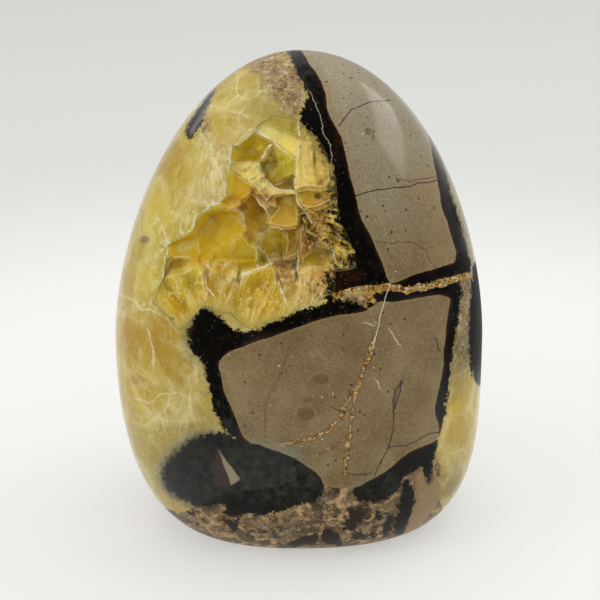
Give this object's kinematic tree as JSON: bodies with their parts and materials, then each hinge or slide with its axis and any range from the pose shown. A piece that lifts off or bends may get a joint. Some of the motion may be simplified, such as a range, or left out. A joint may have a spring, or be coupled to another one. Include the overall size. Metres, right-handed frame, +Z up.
{
  "type": "septarian nodule",
  "caption": "Polished free-standing egg of grey-brown concretion rock with black-edged yellow calcite seams and a calcite-lined hollow broken open in its front.",
  "frame": {"origin": "middle of the flat foot that the nodule stands on", "axes": "+Z up from the foot to the tip, the broad front with the hollow faces -Y, +X to the right seen from the front"},
  "size_m": [0.091, 0.0728, 0.12],
  "materials": {
    "polished_rock": "hand-polished stone",
    "calcite": "fresh broken calcite, waxy and slightly translucent"
  },
  "bodies": {
    "root": {"nodule": "polished_rock", "calcite_crust": "calcite"}
  },
  "joints": []
}
